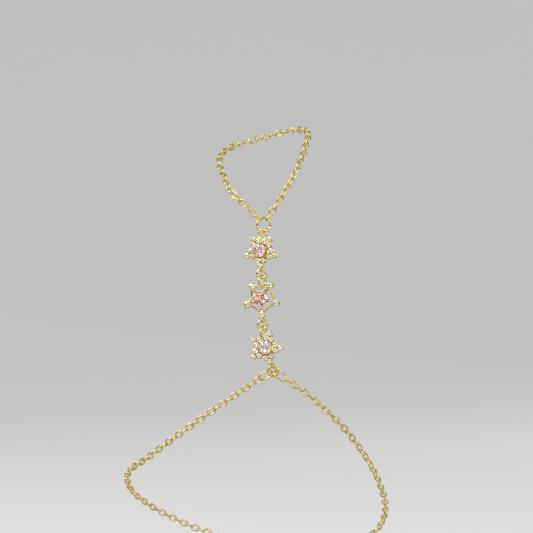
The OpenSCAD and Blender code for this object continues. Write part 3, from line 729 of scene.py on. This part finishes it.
def plating_group():
    """Thin plating over metal: its colour drifts, and polishing leaves fine marks."""
    group, start, end = new_effect(
        "plating",
        {"Bright": "Color", "Deep": "Color", "Patch Scale": "Float", "Mark Scale": "Float",
         "Polish": "Float", "Wear": "Float"},
        {"Color": "Color", "Roughness": "Float", "Normal": "Vector"},
    )
    link = group.links.new
    place = group.nodes.new("ShaderNodeTexCoord")
    patches = shader_node(group, "ShaderNodeTexNoise", Detail=3.0, Roughness=0.55)
    link(place.outputs["Object"], patches.inputs["Vector"])
    link(start.outputs["Patch Scale"], patches.inputs["Scale"])
    tint = cloud_mix(group, patches, 0.32, 0.68)
    link(start.outputs["Bright"], tint.inputs["A"])
    link(start.outputs["Deep"], tint.inputs["B"])
    link(tint.outputs["Result"], end.inputs["Color"])
    marks = shader_node(group, "ShaderNodeTexNoise", Detail=4.0, Roughness=0.7)
    link(place.outputs["Object"], marks.inputs["Vector"])
    link(start.outputs["Mark Scale"], marks.inputs["Scale"])
    rough = math_node(group, "MULTIPLY_ADD")
    link(marks.outputs["Fac"], rough.inputs[0])
    link(start.outputs["Wear"], rough.inputs[1])
    link(start.outputs["Polish"], rough.inputs[2])
    link(rough.outputs["Value"], end.inputs["Roughness"])
    bump = shader_node(group, "ShaderNodeBump", Strength=0.12, Distance=0.00002)
    link(marks.outputs["Fac"], bump.inputs["Height"])
    link(bump.outputs["Normal"], end.inputs["Normal"])
    return group


def stone_group():
    """Cut stone: its tint deepens in soft clouds, and its facets keep faint polishing haze."""
    group, start, end = new_effect(
        "stone_tint",
        {"Pale": "Color", "Deep": "Color", "Cloud Scale": "Float", "Haze": "Float"},
        {"Color": "Color", "Roughness": "Float"},
    )
    link = group.links.new
    place = group.nodes.new("ShaderNodeTexCoord")
    clouds = shader_node(group, "ShaderNodeTexNoise", Detail=2.0)
    link(place.outputs["Object"], clouds.inputs["Vector"])
    link(start.outputs["Cloud Scale"], clouds.inputs["Scale"])
    tint = cloud_mix(group, clouds, 0.35, 0.65)
    link(start.outputs["Pale"], tint.inputs["A"])
    link(start.outputs["Deep"], tint.inputs["B"])
    link(tint.outputs["Result"], end.inputs["Color"])
    haze = math_node(group, "MULTIPLY")
    link(clouds.outputs["Fac"], haze.inputs[0])
    link(start.outputs["Haze"], haze.inputs[1])
    link(haze.outputs["Value"], end.inputs["Roughness"])
    return group


def finish(name, group, group_values, shader_values, group_sockets):
    """A material whose Principled shader takes the group's outputs and keeps its constants itself."""
    material = bpy.data.materials.new(name)
    material.use_nodes = True
    tree = material.node_tree
    shader = tree.nodes["Principled BSDF"]
    for key, value in shader_values.items():
        shader.inputs[key].default_value = value
    effect = tree.nodes.new("ShaderNodeGroup")
    effect.node_tree = group
    for key, value in group_values.items():
        effect.inputs[key].default_value = value
    for source, target in group_sockets.items():
        tree.links.new(effect.outputs[source], shader.inputs[target])
    return material


PLATING = plating_group()
STONE = stone_group()
BRIGHT_GOLD = (1.0, 0.83, 0.3, 1)
DEEP_GOLD = (0.92, 0.68, 0.15, 1)
CLOUDS_PER_METRE = 900.0


def gold(name, polish, wear, patch_scale, mark_scale):
    """Polished gold plating. The scales count its patches and its marks in a metre."""
    return finish(
        name, PLATING,
        {"Bright": BRIGHT_GOLD, "Deep": DEEP_GOLD, "Patch Scale": patch_scale, "Mark Scale": mark_scale,
         "Polish": polish, "Wear": wear},
        {"Metallic": 1.0},
        {"Color": "Base Color", "Roughness": "Roughness", "Normal": "Normal"},
    )


def stone(name, pale, deep, haze, ior=2.1):
    """A clear cut stone, tinted right through."""
    return finish(
        name, STONE,
        {"Pale": pale + (1,), "Deep": deep + (1,), "Cloud Scale": CLOUDS_PER_METRE, "Haze": haze},
        {"Metallic": 0.0, "Transmission Weight": 1.0, "IOR": ior},
        {"Color": "Base Color", "Roughness": "Roughness"},
    )


CHAIN_GOLD = gold("chain_gold", 0.1, 0.14, 300.0, 4000.0)
RING_GOLD = gold("ring_gold", 0.07, 0.12, 300.0, 3000.0)
SETTING_GOLD = gold("setting_gold", 0.1, 0.16, 500.0, 5000.0)
CLEAR_STONE = stone("clear_stone", (0.98, 0.99, 0.98), (0.9, 0.94, 0.93), 0.02)
PINK_STONE = stone("pink_stone", (1.0, 0.74, 0.73), (0.98, 0.56, 0.54), 0.03)
SALMON_STONE = stone("salmon_stone", (1.0, 0.77, 0.79), (0.98, 0.62, 0.66), 0.03, 1.8)
PALE_PINK_STONE = stone("pale_pink_stone", (1.0, 0.9, 0.93), (0.98, 0.79, 0.86), 0.03)


def dressed(piece, material, slot, *nodes):
    """piece takes its finish, moves with the part and stands for these nodes."""
    piece.data.materials.clear()
    piece.data.materials.append(material)
    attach(piece, "root")
    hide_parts(*nodes)


# Chains and loops
def links_of(node):
    """The points of each loose link of a chain node, one list a link."""
    take(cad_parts[node])
    bpy.ops.object.duplicate()
    bpy.context.active_object.data = bpy.context.active_object.data.copy()
    bpy.ops.object.mode_set(mode="EDIT")
    bpy.ops.mesh.select_all(action="SELECT")
    bpy.ops.mesh.remove_doubles(threshold=MERGE * MM * 10)
    bpy.ops.mesh.separate(type="LOOSE")
    leave()
    links = list(bpy.context.selected_objects)
    found = [np.array([v.co for v in link.data.vertices], float) / MM for link in links]
    scrapped(*links)
    return found


def dressed_chain(node):
    """One link, copied to the place of each solid link of the node."""
    places = [loop_place(points) for points in links_of(node)]
    _, length, width, wire = places[0]
    link = wire_loop("link", length, width, wire, LINK_SIDES, LINK_SEAM, oval=True)
    chain = joined([copied(link, "link", place) for place, *_ in places], node + "_links")
    scrapped(link)
    dressed(chain, CHAIN_GOLD, "gold", node)


for chain_node in ("finger_chain", "wrist_chain_left", "wrist_chain_right"):
    dressed_chain(chain_node)

# Each larger loop, and the way that its soldered seam turns
LOOPS = {
    "finger_ring": (-1, 0, 0.2), "upper_joiner_ring": (1, 0, 0.3), "lower_joiner_ring": (1, 0, 0.3),
    "wrist_ring": (-1, 0, 0.5), "oval_link_left": None, "oval_link_right": None, "clasp_ring": (0, 1, 0.2),
}
for loop_node, seam_way in LOOPS.items():
    place, length, width, wire = loop_place(points_of(loop_node), seam_way)
    loop = moved(wire_loop(loop_node + "_wire", length, width, wire, LOOP_SIDES, LOOP_SEAM), place)
    dressed(loop, RING_GOLD, "gold", loop_node)

# Stars
STAR_FRAMES = {
    "upper": star_place("upper", (3, 6, 9, 12, 15), GIRDLE_OVER_PLATE),
    "middle": star_place("middle", (1, 2, 3, 4, 5), OPEN_GIRDLE),
    "lower": star_place("lower", (3, 6, 9, 12, 15), GIRDLE_OVER_PLATE),
}
for which in ("upper", "lower"):
    dressed(moved(stone_set_star(which), STAR_FRAMES[which]), SETTING_GOLD, "gold", which + "_star")
dressed(moved(open_star(), STAR_FRAMES["middle"]), SETTING_GOLD, "gold", "middle_star")

small_radii = sorted({radius for *_, radius in SEAT_PLACES} | {OPEN_STONE_R})
small_cut = {radius: brilliant("small_cut", radius, **SMALL_CUT) for radius in small_radii}
for which in ("upper", "lower"):
    for k, (place, radius) in enumerate(seats(), 1):
        node = f"{which}_stone_{k}"
        seated = STAR_FRAMES[which] @ at(0, 0, GIRDLE_OVER_PLATE) @ place
        dressed(copied(small_cut[radius], node + "_cut", seated), CLEAR_STONE, "clear_stone", node)
for k, arm in enumerate(ARMS, 1):
    node = f"middle_stone_{k}"
    seated = STAR_FRAMES["middle"] @ turned("Z", arm) @ at(OPEN_TIP, 0, OPEN_GIRDLE)
    dressed(copied(small_cut[OPEN_STONE_R], node + "_cut", seated), CLEAR_STONE, "clear_stone", node)
scrapped(*small_cut.values())

round_cut = brilliant("round_cut", ROUND_STONE_R)
for which, material, slot in (
    ("upper", PINK_STONE, "pink_stone"), ("lower", PALE_PINK_STONE, "pale_pink_stone")
):
    gem = copied(round_cut, which + "_centre_cut", STAR_FRAMES[which] @ at(0, 0, CENTRE_GIRDLE))
    dressed(gem, material, slot, which + "_centre_stone")
scrapped(round_cut)
gem = moved(star_cut("middle_centre_cut"), STAR_FRAMES["middle"] @ at(0, 0, STAR_STONE_AT))
dressed(gem, SALMON_STONE, "salmon_stone", "middle_centre_stone")

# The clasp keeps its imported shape
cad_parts["clasp"].data.materials.clear()
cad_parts["clasp"].data.materials.append(RING_GOLD)


# Stage, lights and camera
def sweep():
    """A round pale floor that curves up into a wall on all sides."""
    low = cad_low.z - FLOOR_GAP
    bpy.ops.mesh.primitive_circle_add(
        vertices=FLOOR_SIDES, radius=FLOOR_R, fill_type="NGON", location=(0, 0, low)
    )
    floor = started("floor")
    pick(floor, "VERT", lambda p: True)
    angles = [math.pi / 2 * k / CORNER_STEPS for k in range(1, CORNER_STEPS + 1)]
    steps = [(FLOOR_R + FLOOR_BEND * math.sin(a), FLOOR_BEND * (1 - math.cos(a))) for a in angles]
    out, up = FLOOR_R, 0.0
    for next_out, next_up in steps + [(FLOOR_R + FLOOR_BEND, WALL_TOP)]:
        bpy.ops.mesh.extrude_edges_move(TRANSFORM_OT_translate={"value": (0, 0, next_up - up)})
        grown(next_out / out, low + next_up)
        out, up = next_out, next_up
    leave()
    bpy.ops.object.shade_smooth()
    return floor


def matte_card(color, shade, lift):
    """Matte paper with a faint cloudy tone.

    Seen straight or through a stone it is paler than where the metal mirrors it.
    """
    material = bpy.data.materials.new("pale_paper")
    material.use_nodes = True
    tree = material.node_tree
    shader = tree.nodes["Principled BSDF"]
    shader.inputs["Roughness"].default_value = 0.9
    shader.inputs["Specular IOR Level"].default_value = 0.1
    shader.inputs["Emission Color"].default_value = color
    path = tree.nodes.new("ShaderNodeLightPath")
    seen = math_node(tree, "MAXIMUM")
    lifted = math_node(tree, "MULTIPLY")
    lifted.inputs[1].default_value = lift
    tree.links.new(path.outputs["Is Camera Ray"], seen.inputs[0])
    tree.links.new(path.outputs["Is Transmission Ray"], seen.inputs[1])
    tree.links.new(seen.outputs["Value"], lifted.inputs[0])
    tree.links.new(lifted.outputs["Value"], shader.inputs["Emission Strength"])
    place = tree.nodes.new("ShaderNodeTexCoord")
    clouds = shader_node(tree, "ShaderNodeTexNoise", Scale=3.0, Detail=3.0)
    tone = tree.nodes.new("ShaderNodeMix")
    tone.data_type = "RGBA"
    tone.inputs["A"].default_value = color
    tone.inputs["B"].default_value = shade
    tree.links.new(place.outputs["Object"], clouds.inputs["Vector"])
    tree.links.new(clouds.outputs["Fac"], tone.inputs["Factor"])
    tree.links.new(tone.outputs["Result"], shader.inputs["Base Color"])
    return material


def soft_light(name, place, size, power):
    """A square soft light that looks at the charms."""
    bpy.ops.object.light_add(type="AREA", location=place)
    lamp = bpy.context.active_object
    lamp.name = lamp.data.name = name
    lamp.data.size = size
    lamp.data.energy = power
    aim = Vector(CHARMS_MIDDLE) * MM - Vector(place)
    lamp.rotation_euler = aim.to_track_quat("-Z", "Y").to_euler()


PAPER = (0.5, 0.495, 0.485, 1)
PAPER_SHADE = (0.47, 0.465, 0.455, 1)
PAPER_LIFT = 0.7
ROOM = (0.9, 0.93, 1.0, 1)
ROOM_POWER = 0.32
# Name, place and size in metres, and power in watts
LIGHTS = [
    ("key_light", (-0.62, -0.28, 0.62), 0.6, 5.2),
    ("fill_light", (0.72, -0.4, 0.3), 0.4, 1.4),
    ("top_light", (0.12, -0.35, 0.85), 0.45, 1.3),
    ("front_light", (0.17, -0.82, 0.42), 0.35, 0.75),
    ("back_light", (0.45, 0.7, 0.35), 0.4, 0.9),
    ("left_spark", (-0.2, -0.8, 0.5), 0.08, 0.25),
    ("right_spark", (0.35, -0.78, 0.2), 0.08, 0.25),
    ("low_spark", (0.15, -0.85, 0.0), 0.08, 0.2),
]

floor = sweep()
floor.data.materials.append(matte_card(PAPER, PAPER_SHADE, PAPER_LIFT))

for light in LIGHTS:
    soft_light(*light)

world = bpy.data.worlds.new("studio")
bpy.context.scene.world = world
world.use_nodes = True
room = world.node_tree.nodes["Background"]
room.inputs["Color"].default_value = ROOM
room.inputs["Strength"].default_value = ROOM_POWER

camera_at = (Vector(CHARMS_MIDDLE) - Vector((0, CAMERA_AWAY, 0))) * MM
bpy.ops.object.camera_add(location=camera_at, rotation=(math.pi / 2, 0, 0))
camera = bpy.context.active_object
camera.data.sensor_width = SENSOR
camera.data.lens = SENSOR * CAMERA_AWAY / PICTURE_W
camera.data.clip_start = 0.01
camera.data.clip_end = 10
bpy.context.scene.camera = camera
bpy.context.scene.view_settings.view_transform = "Standard"
